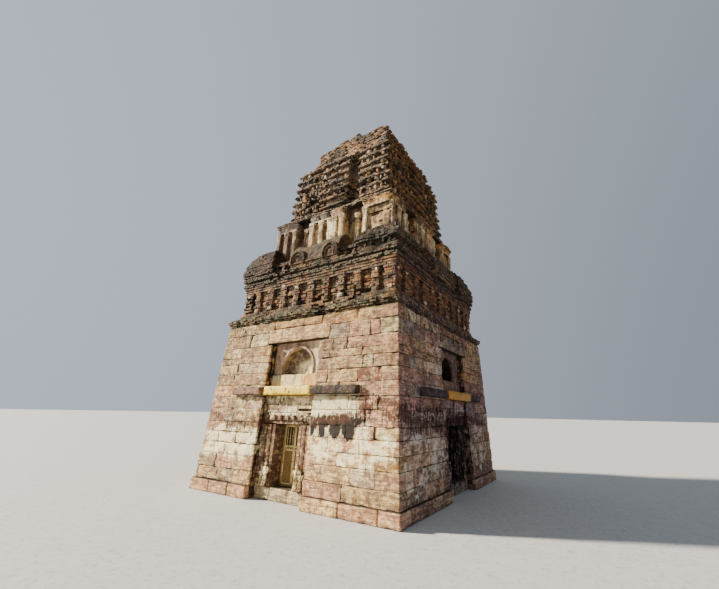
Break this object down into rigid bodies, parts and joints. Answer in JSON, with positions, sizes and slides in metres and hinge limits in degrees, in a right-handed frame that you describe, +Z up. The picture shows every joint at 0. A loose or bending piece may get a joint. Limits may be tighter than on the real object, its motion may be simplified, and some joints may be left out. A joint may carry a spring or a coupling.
{
  "type": "hindu temple",
  "caption": "Square stone shrine with a gated doorway, arched niches and eave beams under a stepped, ruined brick tower.",
  "frame": {"origin": "centre of the base at the lowest ground line", "axes": "+Z up, -Y out of the gated front, +X out of the face with the open doorway"},
  "size_m": [7, 7, 12.2],
  "materials": {
    "sandstone": "weathered buff and pink ashlar",
    "carved_stone": "weathered red carved stone",
    "lime_plaster": "ochre and cream lime plaster, stained",
    "yellow_beam_paint": "chalky yellow paint on stone",
    "dark_eave_stone": "dark weathered stone",
    "mossy_moulding": "brick and plaster darkened by dry moss",
    "weathered_brick": "eroded red-brown brickwork",
    "gate_paint": "golden yellow enamel, worn"
  },
  "bodies": {
    "temple": {"plinth_front_left": "sandstone", "plinth_front_right": "sandstone", "plinth_back_right": "sandstone", "plinth_back_left": "sandstone", "cella_floor": "sandstone", "front_wall_left": "sandstone", "front_wall_right": "sandstone", "right_wall_front": "sandstone", "right_wall_rear": "sandstone", "back_wall_right": "sandstone", "back_wall_left": "sandstone", "left_wall_rear": "sandstone", "left_wall_front": "sandstone", "front_great_lintel": "sandstone", "right_great_lintel": "sandstone", "back_niche_wall": "sandstone", "left_niche_wall": "sandstone", "front_threshold": "carved_stone", "front_jamb_left": "carved_stone", "front_jamb_right": "carved_stone", "front_door_lintel": "carved_stone", "right_threshold": "carved_stone", "right_jamb_front": "carved_stone", "right_jamb_rear": "carved_stone", "right_door_lintel": "carved_stone", "back_false_door": "carved_stone", "left_false_door": "carved_stone", "front_niche_wall": "lime_plaster", "right_window_wall": "lime_plaster", "upper_storey": "lime_plaster", "bracket_frieze": "lime_plaster", "front_yellow_beam": "yellow_beam_paint", "right_yellow_beam": "yellow_beam_paint", "front_eave_left": "dark_eave_stone", "front_eave_right": "dark_eave_stone", "right_eave_front": "dark_eave_stone", "right_eave_rear": "dark_eave_stone", "back_eave": "dark_eave_stone", "left_eave": "dark_eave_stone", "lower_cornice": "mossy_moulding", "middle_cornice": "mossy_moulding", "parapet_shrines": "mossy_moulding", "upper_cornice": "mossy_moulding", "pilaster_tier": "weathered_brick", "crown_lower": "weathered_brick", "crown_middle": "weathered_brick", "crown_upper": "weathered_brick", "broken_summit": "weathered_brick", "gate_frame": "gate_paint"},
    "left_leaf": {"gate_leaf_left": "gate_paint"},
    "right_leaf": {"gate_leaf_right": "gate_paint"}
  },
  "joints": [
    {"name": "gate_left_hinge", "type": "hinge", "parent": "temple", "child": "left_leaf", "pos_m": [-0.508, -2.818, 0.56], "axis": [0, 0, 1], "range_deg": [0, 85]},
    {"name": "gate_right_hinge", "type": "hinge", "parent": "temple", "child": "right_leaf", "pos_m": [0.268, -2.818, 0.56], "axis": [0, 0, -1], "range_deg": [0, 85]}
  ]
}
